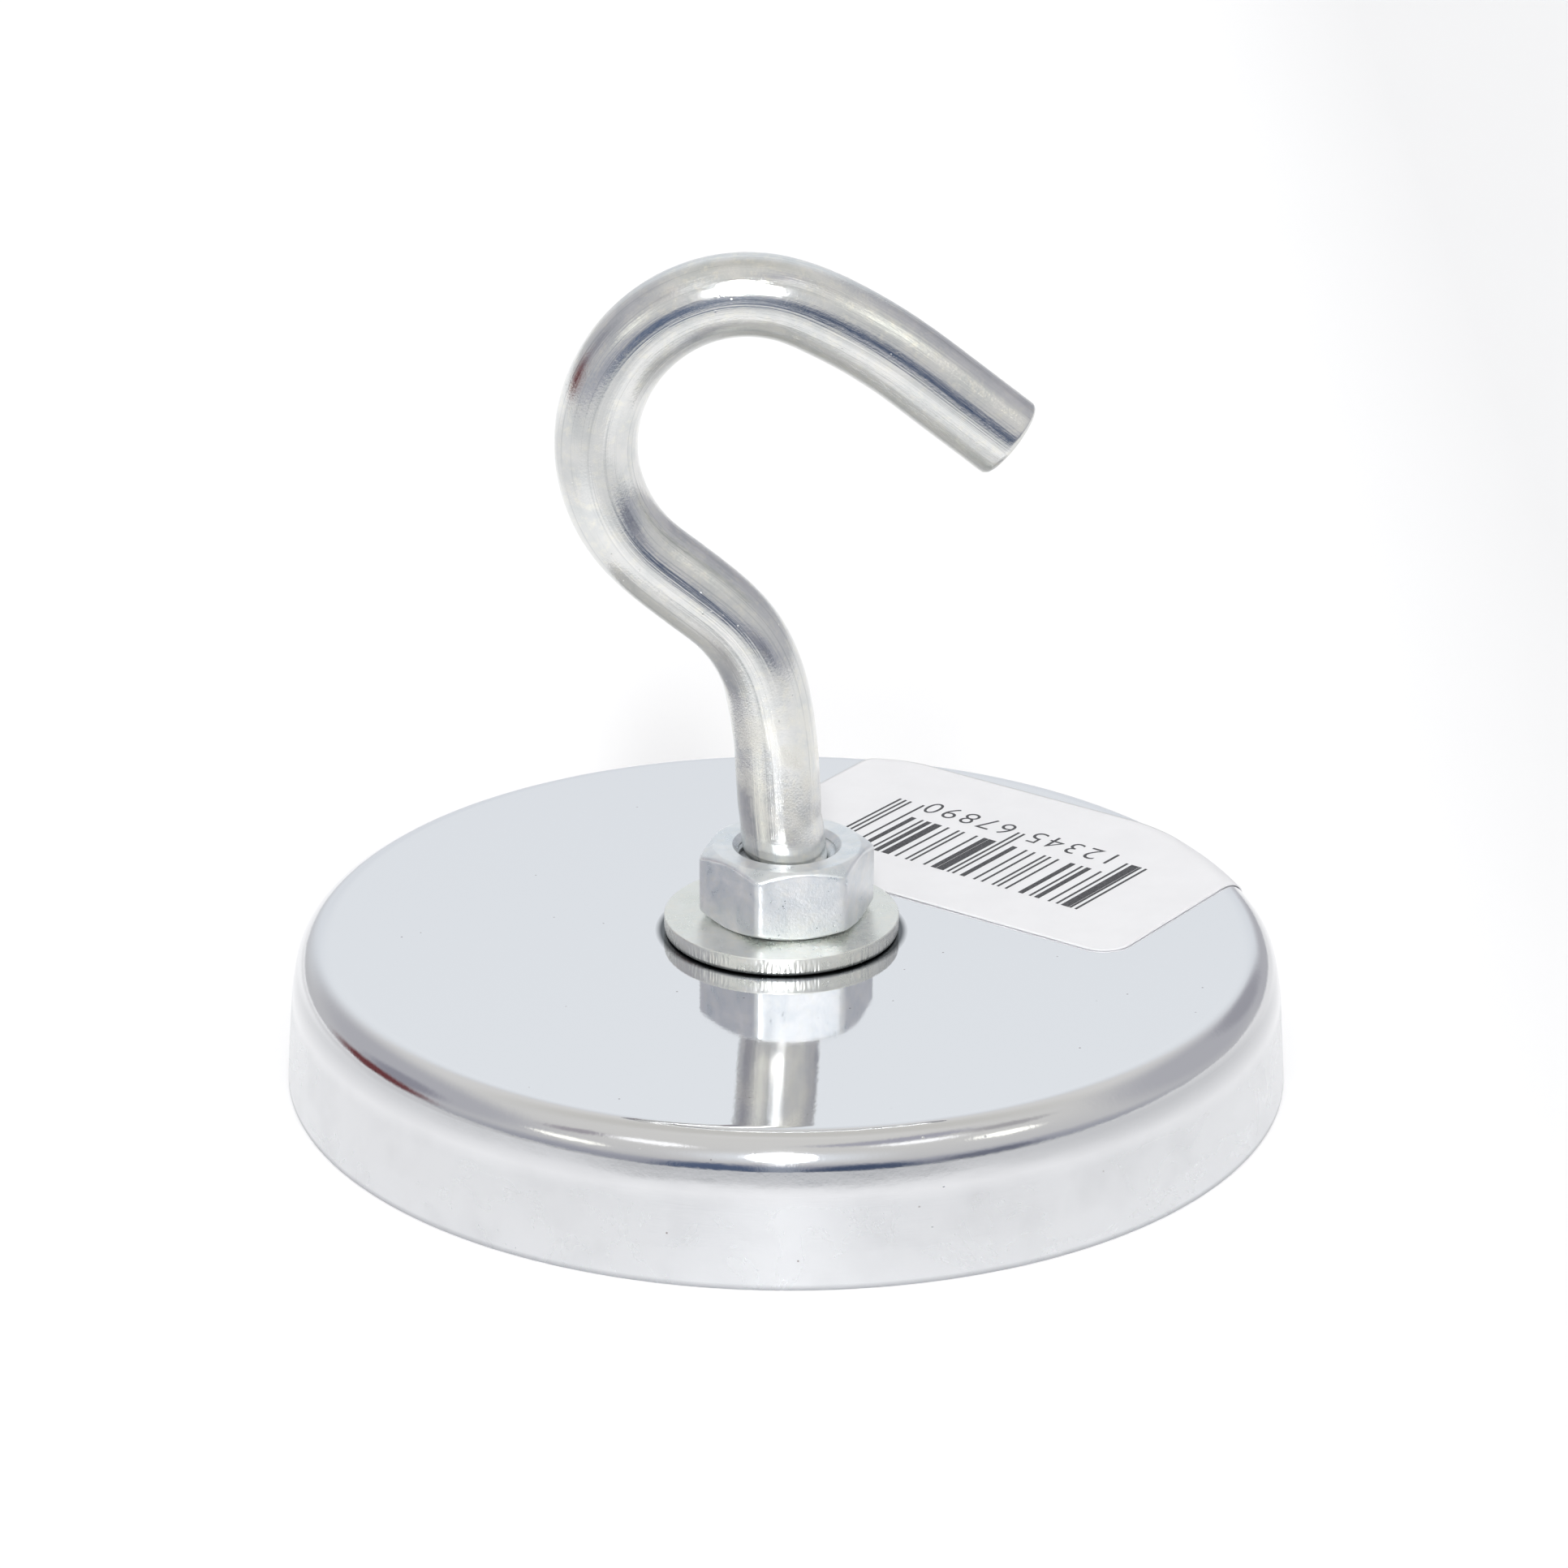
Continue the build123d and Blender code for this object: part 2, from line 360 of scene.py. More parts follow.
def cup_plate():
    """Bright plating: a mirror on the flat, duller and darker on the bend, and brushed round the wall."""
    s = Shader("cup_plate")
    s.set(Metallic=1.0, Anisotropic=0.75, Anisotropic_Rotation=0.25)
    own = s.place()
    x, y, height = s.parts(own)
    on_wall = s.ramp(height, SHOULDER_Z - 0.1, SHOULDER_Z - 2.3, smooth=True)
    on_plate = s.ramp(height, PLATE_Z - 0.5, PLATE_Z - 0.08, smooth=True)
    on_bend = s.times(s.rest(on_plate), s.rest(on_wall))
    cloud = s.noise(own, 0.16, 5, 0.6, 0.8)
    mirror = s.plus(s.ramp(cloud, 0.5, 0.72, 0.0, 0.03), 0.035)
    dull = s.ramp(cloud, 0.3, 0.75, 0.05, 0.10)
    brushed = s.ramp(cloud, 0.3, 0.75, 0.24, 0.30)
    s.rough(s.blend(on_wall, s.blend(on_plate, dull, mirror), brushed))
    around = s.node("ShaderNodeTangent", direction_type="RADIAL", axis="Z")
    s.link(around.outputs["Tangent"], s.bsdf.inputs["Tangent"])

    smudge = s.times(s.ramp(s.noise(own, 0.2, 3, 0.5), 0.48, 0.75), on_wall)
    body = s.mix(on_wall, (0.83, 0.835, 0.85), (0.735, 0.745, 0.76))
    tint = s.mix(smudge, body, (0.68, 0.69, 0.705))
    tint = s.mix(s.times(on_bend, 0.6), tint, (0.70, 0.705, 0.72))
    # Painted shade: a darker band round the top of the wall, just under the shoulder, stands in for a dimmer
    # reflection there.
    band_low, band_high = 9.3, 9.6
    painted_shade_band = s.times(
        s.ramp(height, band_low - 1.6, band_low), s.ramp(height, band_high + 0.7, band_high)
    )
    tint = s.mix(s.times(painted_shade_band, 0.6), tint, (0.48, 0.49, 0.51))
    # Painted shade: the wall darkens over its lowest half millimetre, as a contact shadow along the bottom
    # edge.
    tint = s.mix(s.ramp(height, 0.5, 0.1), tint, (0.45, 0.46, 0.48))
    dust = s.ramp(s.spots(own, 0.5), 0.025, 0.055, 1.0, 0.0)
    thin = s.ramp(s.noise(own, 0.27, 2), 0.5, 0.56)
    speckled = s.mix(s.times(dust, thin), tint, (0.36, 0.33, 0.33))
    # Painted shadow: the plate is darkened in a soft ring just round the washer's edge, as the shade under
    # it.
    side = s.calc("SUBTRACT", x, WASHER_X)
    ahead = s.calc("SUBTRACT", y, WASHER_Y)
    apart = s.calc("POWER", s.plus(s.calc("POWER", side, 2.0), s.calc("POWER", ahead, 2.0)), 0.5)
    s.colour(s.mix(s.ramp(apart, WASHER_R + 0.75, WASHER_R + 0.25), speckled, PAINTED_SHADE))

    s.bump(s.times(s.noise(own, 5.0, 3, 0.7), on_wall), 0.006)
    s.bump(s.times(s.noise(s.place(scale=(0.06, 0.06, 1.0)), 5.0, 4, 0.75), on_wall), 0.008)
    s.bump(s.times(s.noise(own, 2.4, 4, 0.6), on_plate), 0.0022)
    s.bump(s.times(s.noise(own, 1.6, 5, 0.7), on_bend), 0.009)
    pits = s.ramp(s.spots(own, 0.42), 0.02, 0.06, 1.0, 0.0, smooth=True)
    s.bump(s.times(pits, s.rest(on_plate)), -0.02)
    return s.material


def zinc(name, dark, light, rough, mottle=0.35, flecks=0.8, dents=0.004, grit=0.008, rod=False,
         metal=1.0, shade_below=None):
    """Bright zinc over steel: cloudy tint with creamy flecks, uneven sheen and small pits.

    mottle is the noise scale of its clouds, flecks the share of cream, and dents and grit are the depths of
    its coarse and fine unevenness. A rod also has marks along it, painted shade on its underside and a dull,
    blotchy foot. Painted shade, as a contact line, can darken all that is below a height."""
    s = Shader(name)
    s.set(Metallic=metal)
    own = s.place()
    cloud = s.noise(own, mottle, 5, 0.62, 0.5)
    fine = s.noise(own, 1.3, 5, 0.65)
    tint = s.mix(s.ramp(cloud, 0.32, 0.7), dark, light)
    tint = s.mix(s.ramp(fine, 0.5, 0.68, 0.0, flecks), tint, CREAM)
    uneven = s.plus(s.ramp(cloud, 0.3, 0.75, -0.5, 0.5), s.ramp(fine, 0.3, 0.7, -0.4, 0.4))
    sheen = s.plus(s.times(uneven, rough[1] - rough[0]), (rough[0] + rough[1]) / 2)
    s.bump(s.noise(own, 5.0, 4, 0.65), grit)
    s.bump(s.noise(own, 0.7, 2), dents)
    s.bump(s.ramp(s.spots(own, 0.75), 0.02, 0.09, 0.0, 1.0, smooth=True), 0.018)
    # Painted shade: below the given height the colour turns dark, as a contact line.
    if shade_below:
        height = s.parts(own)[2]
        tint = s.mix(s.ramp(height, shade_below, shade_below - 0.14), tint, PAINTED_SHADE)
    if rod:
        # Painted shade: the parts of the rod that face down are darkened towards an olive grey.
        facing = s.parts(s.node("ShaderNodeNewGeometry").outputs["Normal"])[2]
        tint = s.mix(s.ramp(facing, -0.1, -0.8, 0.0, 0.45), tint, (0.46, 0.47, 0.44))
        scratch = s.noise(s.place("rod_space", (1.0, 1.0, 0.015)), 2.6, 4, 0.65)
        tint = s.mix(s.ramp(scratch, 0.56, 0.68, 0.0, 0.6), tint, (0.50, 0.52, 0.53))
        along = s.parts(s.place("rod_space"))[2]
        below = s.ramp(along, 36.0, 29.0, smooth=True)
        foot = s.times(s.ramp(along, 19.0, 25.0, smooth=True), below)
        blotch = s.times(s.ramp(s.noise(own, 0.45, 3, 0.55), 0.4, 0.62), foot)
        tint = s.mix(s.times(blotch, 0.75), tint, CREAM)
        sheen = s.plus(sheen, s.times(blotch, 0.2))
        s.bump(s.noise(s.place("rod_space", (1.0, 1.0, 0.02)), 3.0, 5, 0.7), 0.022)
        s.bump(s.ramp(s.noise(s.place("rod_space", (1.0, 1.0, 0.012)), 1.1, 4, 0.6), 0.5, 0.62), 0.014)
    s.colour(tint)
    s.rough(sheen)
    return s.material


def ferrite():
    s = Shader("ferrite")
    own = s.place()
    cloud = s.noise(own, 0.35, 5, 0.6)
    ground = s.noise(s.place(scale=(0.12, 1.6, 1.0)), 2.2, 4, 0.65)
    s.colour(s.mix(s.ramp(cloud, 0.3, 0.7), (0.055, 0.055, 0.06), (0.11, 0.11, 0.115)))
    s.rough(s.ramp(ground, 0.3, 0.7, 0.38, 0.6))
    s.set(Specular_IOR_Level=0.6)
    s.bump(ground, 0.02)
    s.bump(s.noise(own, 7.0, 3, 0.7), 0.015)
    return s.material


def resin():
    s = Shader("potting_resin")
    own = s.place()
    cloud = s.noise(own, 0.3, 4, 0.6)
    s.colour(s.mix(s.ramp(cloud, 0.35, 0.65), (0.012, 0.012, 0.014), (0.03, 0.03, 0.034)))
    s.rough(s.ramp(s.noise(own, 0.9, 4), 0.35, 0.7, 0.12, 0.34))
    s.bump(s.noise(own, 0.5, 3), 0.12)
    s.bump(s.ramp(s.spots(own, 0.45), 0.05, 0.16, 0.0, 1.0, smooth=True), 0.05)
    return s.material


def adhesive():
    s = Shader("adhesive")
    own = s.place()
    s.colour(s.mix(s.noise(own, 0.6, 4), (0.42, 0.37, 0.24), (0.6, 0.55, 0.4)))
    s.rough(s.ramp(s.noise(own, 1.5), 0.3, 0.7, 0.4, 0.7))
    s.bump(s.noise(own, 2.0), 0.02)
    return s.material


def paper():
    s = Shader("label_paper")
    own = s.place()
    fibre = s.noise(own, 5.0, 5, 0.7, 0.4)
    cloud = s.noise(own, 0.25, 4)
    s.colour(s.mix(s.ramp(cloud, 0.35, 0.65), (0.865, 0.865, 0.88), (0.89, 0.89, 0.905)))
    s.rough(s.ramp(fibre, 0.3, 0.7, 0.48, 0.62))
    s.set(Specular_IOR_Level=0.4)
    s.bump(fibre, 0.006)
    s.bump(cloud, 0.05)
    return s.material


def ink():
    s = Shader("label_ink")
    own = s.place()
    thin = s.ramp(s.noise(own, 7.0, 4, 0.7), 0.42, 0.68)
    s.colour(s.mix(thin, (0.018, 0.018, 0.022), (0.12, 0.12, 0.13)))
    s.rough(s.ramp(s.noise(own, 4.0), 0.3, 0.7, 0.45, 0.6))
    s.bump(s.noise(own, 6.0, 3), 0.004)
    return s.material


def floor_paint():
    """A white light table, dimmer towards the camera and to the sides, where only the metal sees it."""
    s = Shader("floor")
    own = s.place()
    x, y, _ = s.parts(own)
    front = s.ramp(y, -90.0, -140.0)
    right = s.ramp(x, 45.0, 80.0, 0.0, 0.45)
    left = s.times(s.ramp(x, -75.0, -110.0, 0.0, 0.65), s.ramp(y, 220.0, 120.0))
    cloud = s.mix(s.noise(own, 0.02, 2), (0.86, 0.86, 0.865), (0.88, 0.88, 0.885))
    away = s.calc("MAXIMUM", front, s.calc("MAXIMUM", right, left))
    s.colour(s.mix(away, cloud, (0.66, 0.665, 0.67)))
    s.set(Emission_Color=(1.0, 1.0, 1.0, 1.0))
    s.link(s.ramp(away, 0.0, 1.0, 0.20, 0.06), s.bsdf.inputs["Emission Strength"])
    s.rough(s.ramp(s.noise(own, 0.05, 2), 0.3, 0.7, 0.7, 0.8))
    return s.material


# ---------------------------------------------------------------- the pieces
def outer_wall(z):
    """Radius of the cup's outside at a height."""
    return CUP_R - z * math.tan(DRAFT)


def inner_wall(z):
    """Radius of the cup's inside at a height."""
    return outer_wall(z) - CUP_SHEET / math.cos(DRAFT)


def make_cup(material):
    """The drawn cup. Its shoulder eases into a wall that has a faint crease low down and isn't quite true."""
    plate_edge = outer_wall(EASE_Z) - (PLATE_Z - EASE_Z) * math.tan(EASE_TILT)
    outline = rounded([
        (HOLE_R, CEILING_Z, 0.15),
        (HOLE_R, PLATE_Z, 0.3),
        (plate_edge, PLATE_Z, EASE_R),
        (outer_wall(EASE_Z), EASE_Z, 15.0),
        (outer_wall(CREASE_Z) + 0.03, CREASE_Z, 4.0),
        (CUP_R - 0.02, 0, 0.12),
        (inner_wall(0), 0, 0.2),
        (inner_wall(CEILING_Z), CEILING_Z, SHOULDER_R - CUP_SHEET),
    ], steps=14, share=0.6)

    def out_of_true(r, z, angle, index):
        if r < FLAT_R - 0.5 or z < 0.3:
            return r, z
        x, y = CUP_R * math.cos(angle), CUP_R * math.sin(angle)
        return r + 0.03 * grain(x, y, z * 1.5, 0.11) + 0.006 * grain(x, y, z * 3, 0.5), z

    points, faces = lathe(outline, 384, reshape=out_of_true)
    return make_piece("cup_shell", points, faces, "magnet_base", ["steel_cup"], material)


def make_ring(material):
    """The ferrite ring, ground flat below, with small chips along its brittle lower edges."""
    outline = rounded([
        (RING_BORE_R, RING_TOP, RING_EDGE),
        (RING_BORE_R, 0, RING_EDGE),
        (RING_R, 0, RING_EDGE),
        (RING_R, RING_TOP, RING_EDGE),
    ], steps=6)

    def chipped(r, z, angle, index):
        edge = min(abs(r - RING_BORE_R), abs(r - RING_R))
        if z > 1.5 or edge > 1.2:
            return r, z
        bite = grain(r * math.cos(angle), r * math.sin(angle), 7, 0.75)
        depth = 0.55 * smooth_step(0.34, 0.5, bite) * (1 - edge / 1.2)
        return r, z + depth

    points, faces = lathe(outline, 420, reshape=chipped)
    return make_piece("ferrite_magnet", points, faces, "magnet_base", ["ferrite_ring"], material)


def make_rim_resin(material):
    """Resin between the ring and the wall. Its surface sags between the two sides that it wets."""
    count = 10
    gap = 0.01
    at_wall, at_ring, sag = 0.35, 0.95, 0.2
    start = RING_R + gap / 2
    width = inner_wall(at_wall) - gap - start
    outline = []
    for k in range(count + 1):
        t = k / count
        outline.append((start + width * t, at_ring + (at_wall - at_ring) * t + 4 * sag * t * (1 - t)))
    bend_z = 8.8
    top_z = CEILING_Z - 2 * gap
    outline.append((inner_wall(bend_z) - gap, bend_z))
    outline.append((inner_wall(bend_z) - 0.5, top_z))
    outline.append((start, top_z))

    def uneven(r, z, angle, index):
        if index > count:
            return r, z
        return r, z + 0.09 * grain(r * math.cos(angle), r * math.sin(angle), 3, 0.16)

    points, faces = lathe(outline, 300, reshape=uneven)
    return make_piece("rim_filling", points, faces, "magnet_base", ["rim_resin"], material)


def hex_radius(angle, turn, grow=0.0, corner=0.75):
    """Distance from a nut's axis to its side at an angle, with the corners rounded."""
    apothem = NUT_FLATS / 2 + grow
    sixth = math.pi / 3
    across = (angle - turn - math.pi / 2 + sixth / 2) % sixth - sixth / 2
    reach = (apothem - corner) * math.tan(math.pi / 6)
    if apothem * math.tan(abs(across)) < reach:
        return apothem / math.cos(across)
    from_corner = math.pi / 6 - abs(across)
    middle = (apothem - corner) / math.cos(math.pi / 6)
    return middle * math.cos(from_corner) + math.sqrt(corner ** 2 - (middle * math.sin(from_corner)) ** 2)


def make_centre_resin(material):
    """Resin in the ring's bore, round the anchor nut. It climbs where it wets the nut and the ring."""
    surface_z = 3.3
    gap = 0.01
    count = 24

    def outline(angle):
        start = hex_radius(angle, ANCHOR_TURN, gap)
        width = RING_BORE_R - gap - start
        points = []
        for k in range(count + 1):
            r = start + width * (k / count)
            near_nut = math.exp(-(r - start) / 0.45)
            near_ring = math.exp(-(RING_BORE_R - r) / 0.7)
            points.append((r, surface_z - 0.35 * near_nut - 0.8 * near_ring))
        upper_r = RING_BORE_R + RING_EDGE
        washer_r = WASHER_R + gap
        ceiling = CEILING_Z - gap
        points += [(RING_BORE_R - gap, RING_TOP - RING_EDGE), (upper_r, RING_TOP), (upper_r, ceiling)]
        points += [(washer_r, ceiling), (washer_r, ANCHOR_HIGH.z), (start, ANCHOR_HIGH.z)]
        return points

    def uneven(r, z, angle, index):
        if index > count:
            return r, z
        return r, z + 0.08 * grain(r * math.cos(angle), r * math.sin(angle), 5, 0.22)

    points, faces = lathe(outline, 240, reshape=uneven)
    return make_piece(
        "centre_filling", points, faces, "magnet_base", ["centre_resin"], material
    )


def thread_radius(angle, z, limits, slack):
    """Radius of a right-hand 60-degree thread, cut off at its limits.

    Slack above 0 opens a nut's thread, and below 0 it thins a rod's."""
    phase = ((z / PITCH - angle / TAU) % 1.0 - 0.5) * PITCH
    r = PITCH_R + (PITCH / 4 + slack - abs(phase)) / math.tan(math.pi / 6)
    return min(max(r, limits[0]), limits[1])


def make_nut(name, node, low_z, high_z, turn, material):
    """A cold-formed hexagon nut: rounded corners, a chamfer on both faces and a real thread in its bore."""
    bore_rows = 84
    countersink_r = 4.45
    below_face = 0.62
    thread_outer_r = NUT_THREAD_R[1]

    def outline(angle):
        side = hex_radius(angle, turn)
        drop = (side - NUT_LAND_R) * math.tan(NUT_CHAMFER)
        outer = rounded([
            (countersink_r, low_z, 0.12),
            (NUT_LAND_R, low_z, 0.35),
            (side, low_z + drop, 0.45),
            (side, high_z - drop, 0.45),
            (NUT_LAND_R, high_z, 0.35),
            (countersink_r, high_z, 0.12),
            (4.0, high_z - 0.5, 0.05),
            (4.0, low_z + 0.5, 0.05),
        ], steps=4, guard=0.03)
        bore = []
        for k in range(bore_rows + 1):
            z = high_z - below_face - (high_z - low_z - 2 * below_face) * k / bore_rows
            ends = smooth_step(0.5, 1.3, min(z - low_z, high_z - z))
            r = thread_radius(angle, z, NUT_THREAD_R, THREAD_SLACK)
            bore.append((thread_outer_r + (r - thread_outer_r) * ends, z))
        return outer[:-6] + bore + outer[-6:]

    def worn(r, z, angle, index):
        if r <= 5:
            return r, z
        x, y = r * math.cos(angle), r * math.sin(angle)
        return r + 0.025 * grain(x, y, z, 0.5), z + 0.012 * grain(x, y, z + 9, 0.4)

    points, faces = lathe(outline, 216, reshape=worn)
    body = "hook_assembly" if node == "hex_nut" else "magnet_base"
    return make_piece(name, points, faces, body, [node], material)


def make_washer(material):
    """A punched washer: a rolled lower edge, and an outer edge torn into upright marks by the shear."""
    low_z, high_z = WASHER_LOW.z, WASHER_HIGH.z
    outline = rounded([
        (WASHER_BORE_R, low_z, 0.2),
        (WASHER_BORE_R, high_z, 0.12),
        (WASHER_R, high_z, 0.1),
        (WASHER_R - 0.02, low_z, 0.42),
    ], steps=7)
    parts = 8
    dense = []
    for i, (r, z) in enumerate(outline):
        dense.append((r, z))
        next_r, next_z = outline[(i + 1) % len(outline)]
        if min(r, next_r) > WASHER_R - 0.2 and abs(next_z - z) > 0.4:
            for k in range(1, parts):
                t = k / parts
                dense.append((r + (next_r - r) * t, z + (next_z - z) * t))

    def torn(r, z, angle, index):
        if r < WASHER_R - 0.15:
            return r, z + 0.012 * grain(r * math.cos(angle), r * math.sin(angle), 2, 0.25)
        up = (z - low_z) / (high_z - low_z)
        tooth = grain(angle * 60, z * 0.9, 4, 1.0) + 0.6 * grain(angle * 150, z * 1.6, 8, 1.0)
        return r - 0.035 * (0.6 + tooth) * smooth_step(0.95, 0.75, up) * smooth_step(0.02, 0.2, up), z

    points, faces = lathe(dense, 900, (WASHER_X, WASHER_Y), torn)
    return make_piece(
        "plate_washer", points, faces, "turning_washer", ["flat_washer"], material
    )


def hook_route():
    """Centre points, headings, bends and lengths of the rod in XZ, about every 0.4 mm above the thread.

    The bends run into each other gradually, as in rod bent round a former."""

    def straight(length):
        return length, 0.0

    def arc(degrees, radius):
        """A bend to the left, or to the right when the radius is below 0."""
        return math.radians(degrees) * abs(radius), 1 / radius

    stretches = [
        straight(ROUTE_LEAD), arc(9.0, 12.0), straight(2.0), arc(5.8, -12.5), straight(4.5),
        arc(9.9, 38.5), arc(38.5, 11.9), straight(5.7), arc(110.0, -12.6), arc(54.8, -11.4),
        arc(14.8, -40.0), straight(9.4),
    ]
    total = sum(length for length, _ in stretches)

    def bend_at(s):
        for length, bend in stretches:
            if s < length:
                return bend
            s -= length
        return 0.0

    count = 240
    step = total / count
    x, z, heading = 0.0, THREAD_TOP - ROUTE_LEAD, math.pi / 2
    route = [(x, z, heading, 0.0, 0.0)]
    for k in range(count):
        s = (k + 0.5) * step
        spread = ROUTE_LEAD if s < 8 else 1.4
        bend = sum(bend_at(s + spread * d / 6) for d in range(-6, 7)) / 13
        x += math.cos(heading + bend * step / 2) * step
        z += math.sin(heading + bend * step / 2) * step
        heading += bend * step
        route.append((x, z, heading, bend, s + step / 2))
    return route


def make_hook(material):
    """The rod with its thread, its bends, a little flattened where they are tight, and its square-cut end."""
    turns = 96
    points, marks = [], []

    def ring(centre, heading, radius, along, flat=0.0):
        side = Vector((-math.sin(heading), 0, math.cos(heading)))
        for k in range(turns):
            angle = TAU * k / turns
            r = radius(angle) if callable(radius) else radius
            across = side * (-r * math.cos(angle) * (1 - flat))
            across.y += r * math.sin(angle) * (1 + 0.4 * flat)
            points.append(Vector(centre) + across)
            marks.append((ROD_R * math.cos(angle), ROD_R * math.sin(angle), along))

    low = HOOK_LOW_Z
    for r in (0.02, 1.2, 2.3, 2.75):
        ring((0, 0, low), math.pi / 2, r, low)
    lead_r = 2.85
    rows = 230
    route = hook_route()
    route_z = route[0][1]
    for k in range(rows + 1):
        z = low + (route_z - low) * k / rows
        lead = lead_r + (z - low) * 1.25
        fade = smooth_step(route_z - 1.4, route_z - 0.05, z)

        def radius(angle):
            r = min(thread_radius(angle, z, ROD_THREAD_R, -THREAD_SLACK), lead)
            return r + (ROD_R - r) * fade

        ring((0, 0, z), math.pi / 2, radius, z)
    end_edge = 0.45
    total = route[-1][4]
    for x, z, heading, bend, s in route[1:]:
        if s > total - end_edge:
            break
        ring((x, 0, z), heading, ROD_R, route_z + s, min(abs(bend), 0.1) * 0.28)
    x, z, heading, bend, s = route[-1]
    ahead = Vector((math.cos(heading), 0, math.sin(heading)))
    tip = Vector((x, 0, z))
    for k in range(8):
        a = math.pi / 2 * k / 7
        back = end_edge * (1 - math.sin(a))
        ring(tip - ahead * back, heading, ROD_R - end_edge * (1 - math.cos(a)), route_z + total - back)
    for r in (2.6, 2.0, 1.3, 0.6, 0.02):
        ring(tip + ahead * 0.05 * (1 - r / 3), heading, r, route_z + total)
    count = len(points) // turns
    faces = ring_faces(count, turns, False)
    faces.append(tuple(range(turns)))
    faces.append(tuple((count - 1) * turns + k for k in range(turns)))
    return make_piece(
        "hook_rod", points, faces, "hook_assembly", ["hook"], material, {"rod_space": marks}
    )


# ---------------------------------------------------------------- the label
def on_cup(u, v, lift):
    """Where a point of the flat label goes: onto the plate, and past its edge over the shoulder."""
    x = u * math.cos(LABEL_TURN) - v * math.sin(LABEL_TURN)
    y = u * math.sin(LABEL_TURN) + v * math.cos(LABEL_TURN)
    far = math.hypot(x, y)
    over = far - FLAT_R
    if over <= 0:
        return x, y, PLATE_Z + lift
    bend = EASE_R + lift
    arc = min(over / EASE_R, math.pi / 2 - EASE_TILT)
    r = FLAT_R + bend * math.sin(arc)
    z = PLATE_Z - EASE_R + bend * math.cos(arc)
    rest = over - arc * EASE_R
    if rest > 0:
        r += rest * math.sin(EASE_TILT)
        z -= rest * math.cos(EASE_TILT)
    return x / far * r, y / far * r, z


def label_point(i, j, across, along):
    """Grid position to label position, with the corners rounded."""
    u = -LABEL_LENGTH / 2 + LABEL_LENGTH * i / along
    v = -LABEL_WIDTH / 2 + LABEL_WIDTH * j / across
    in_u = LABEL_LENGTH / 2 - LABEL_CORNER_R
    in_v = LABEL_WIDTH / 2 - LABEL_CORNER_R
    if abs(u) > in_u and abs(v) > in_v:
        a = (abs(u) - in_u) / LABEL_CORNER_R
        b = (abs(v) - in_v) / LABEL_CORNER_R
        u = math.copysign(in_u + LABEL_CORNER_R * a * math.sqrt(1 - b * b / 2), u)
        v = math.copysign(in_v + LABEL_CORNER_R * b * math.sqrt(1 - a * a / 2), v)
    return u, v


def paper_lift(u, v):
    """How far the paper stands off the cup: hardly, and most where it is forced over the shoulder."""
    edge = min(LABEL_LENGTH / 2 - abs(u), LABEL_WIDTH / 2 - abs(v))
    fold = Vector((u - LABEL_LENGTH / 2, v - 6.0)).length
    near_edge = 0.01 * smooth_step(0.8, 0.0, edge)
    over_fold = 0.03 * smooth_step(4.0, 0.0, fold)
    return near_edge + over_fold + 0.015 * (0.5 + 0.5 * grain(u, v, 3, 0.22))


def make_label(material):
    along, across = 150, 94
    points = []
    for top in (True, False):
        for j in range(across + 1):
            for i in range(along + 1):
                u, v = label_point(i, j, across, along)
                lift = paper_lift(u, v) + (LABEL_THICKNESS if top else 0.004)
                points.append(on_cup(u + LABEL_CENTRE[0], v + LABEL_CENTRE[1], lift))
    width = along + 1
    layer = width * (across + 1)
    faces = []
    for j in range(across):
        for i in range(along):
            a = j * width + i
            faces.append((a, a + 1, a + 1 + width, a + width))
            faces.append((a + layer, a + width + layer, a + 1 + width + layer, a + 1 + layer))
    rim = [i for i in range(along)]
    rim += [j * width + along for j in range(across)]
    rim += [across * width + i for i in range(along, 0, -1)]
    rim += [j * width for j in range(across, 0, -1)]
    for k, a in enumerate(rim):
        b = rim[(k + 1) % len(rim)]
        faces.append((a, a + layer, b + layer, b))
    return make_piece(
        "paper_label", points, faces, "magnet_base", ["barcode_label"], material
    )


def print_point(p, q):
    """A point of the print: p along the row of bars from its middle, q away from the cup's centre."""
    u = PRINT_CENTRE[0] + p * math.cos(PRINT_TURN) - q * math.sin(PRINT_TURN)
    v = PRINT_CENTRE[1] + p * math.sin(PRINT_TURN) + q * math.cos(PRINT_TURN)
    lift = paper_lift(u - LABEL_CENTRE[0], v - LABEL_CENTRE[1]) + LABEL_THICKNESS + PRINT_LIFT
    return on_cup(u, v, lift)


def symbol_start(symbol):
    """First module of one of the symbols."""
    return GUARD_MODULES + SYMBOL_MODULES * symbol + (MIDDLE_MODULES if symbol >= SYMBOLS / 2 else 0)


def along_row(modules):
    """Place along the row of bars, from its middle."""
    return (modules - ROW_MODULES / 2) * MODULE


def bar_pattern():
    """A generic row of bars that encodes nothing, as (first module, width in modules, long).

    Guards stand at both ends and in the middle, with six symbols of two bars between them on each side."""
    guard_bars = (0, 2, 46, 48, 92, 94)
    bars = [(first, 1, True) for first in guard_bars]
    for symbol in range(SYMBOLS):
        first = symbol_start(symbol)
        gap = 1 + symbol % 2
        wide = 1 + (symbol * symbol + 2 * symbol) % 3
        narrow = 1 + (symbol + 1) // 2 % 2
        is_long = symbol in (0, SYMBOLS - 1)
        bars.append((first + gap, narrow, is_long))
        bars.append((first + SYMBOL_MODULES - wide, wide if symbol % 4 else 1, is_long))
    return bars


